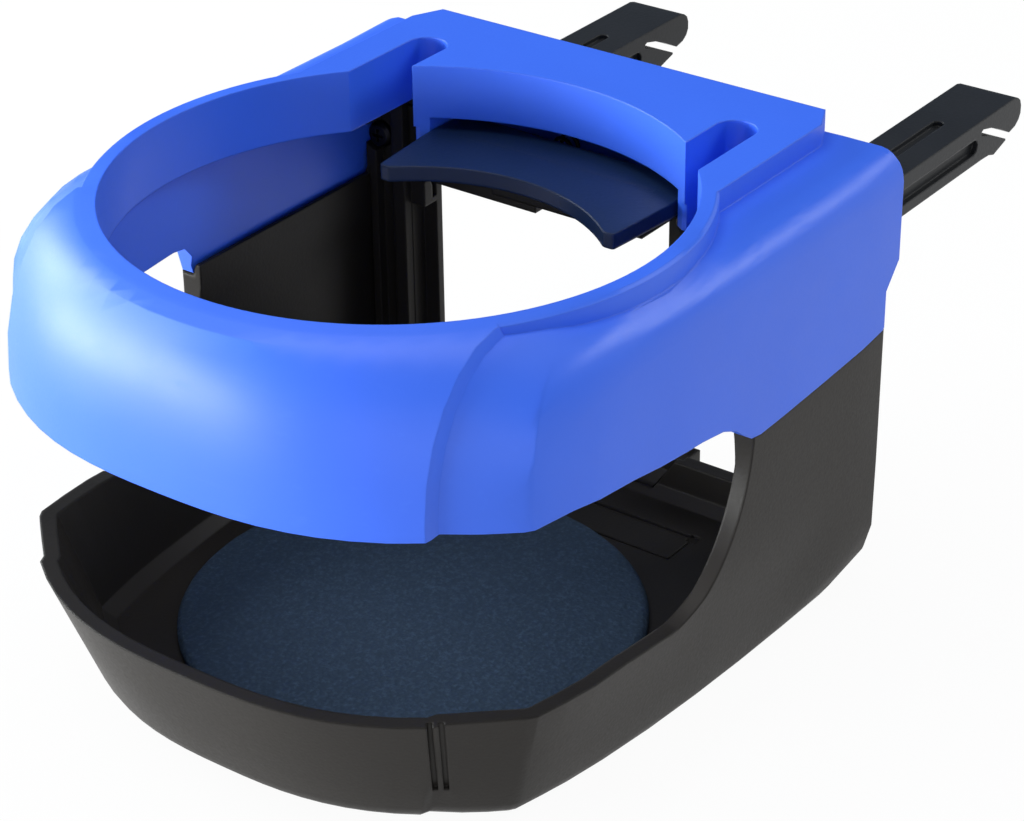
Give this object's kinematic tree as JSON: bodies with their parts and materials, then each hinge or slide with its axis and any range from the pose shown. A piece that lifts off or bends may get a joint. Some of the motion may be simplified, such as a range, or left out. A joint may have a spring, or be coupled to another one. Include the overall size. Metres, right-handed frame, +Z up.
{
  "type": "car cup holder",
  "caption": "Air vent cup holder with an open ring collar, a drafted tray with a foam pad, a sprung cup pusher, sliding vent clips and a sliding support foot.",
  "frame": {"origin": "on the axis of the cup opening, at the flat underside of the tray", "axes": "+X to the right seen from the front, +Y to the rear where the vent clips point, +Z up along the axis of the cup"},
  "size_m": [0.088, 0.1524, 0.068],
  "materials": {
    "blue_plastic": "pearl satin",
    "black_plastic": "fine satin grain",
    "clip_plastic": "satin",
    "foam": "fine cell foam",
    "rubber": "matte",
    "steel": "zinc plated"
  },
  "bodies": {
    "holder": {"body": "black_plastic", "collar": "blue_plastic", "foam_pad": "foam", "rear_carrier": "black_plastic", "carrier_screw_left_outer": "steel", "carrier_screw_left_inner": "steel", "carrier_screw_right_inner": "steel", "carrier_screw_right_outer": "steel", "collar_screw_left": "steel", "collar_screw_right": "steel", "foot_catch": "steel", "pusher_spring_left": "steel", "pusher_spring_right": "steel"},
    "pusher": {"pusher": "black_plastic"},
    "left_clip": {"clip_left": "clip_plastic", "clip_brake_left": "steel"},
    "right_clip": {"clip_right": "clip_plastic", "clip_brake_right": "steel"},
    "foot": {"support_foot": "black_plastic", "foot_pad": "rubber"}
  },
  "joints": [
    {"name": "pusher_slide", "type": "slide", "parent": "holder", "child": "pusher", "axis": [0, 1, 0], "range_m": [0, 0.0074], "stiffness_N_per_m": 250, "springref_m": -0.004, "deforming": ["pusher_spring_left", "pusher_spring_right"]},
    {"name": "left_clip_slide", "type": "slide", "parent": "holder", "child": "left_clip", "axis": [1, 0, 0], "range_m": [-0.002, 0.006]},
    {"name": "right_clip_slide", "type": "slide", "parent": "holder", "child": "right_clip", "axis": [1, 0, 0], "range_m": [-0.006, 0.002]},
    {"name": "foot_slide", "type": "slide", "parent": "holder", "child": "foot", "axis": [0, 1, 0], "range_m": [0, 0.025]}
  ]
}
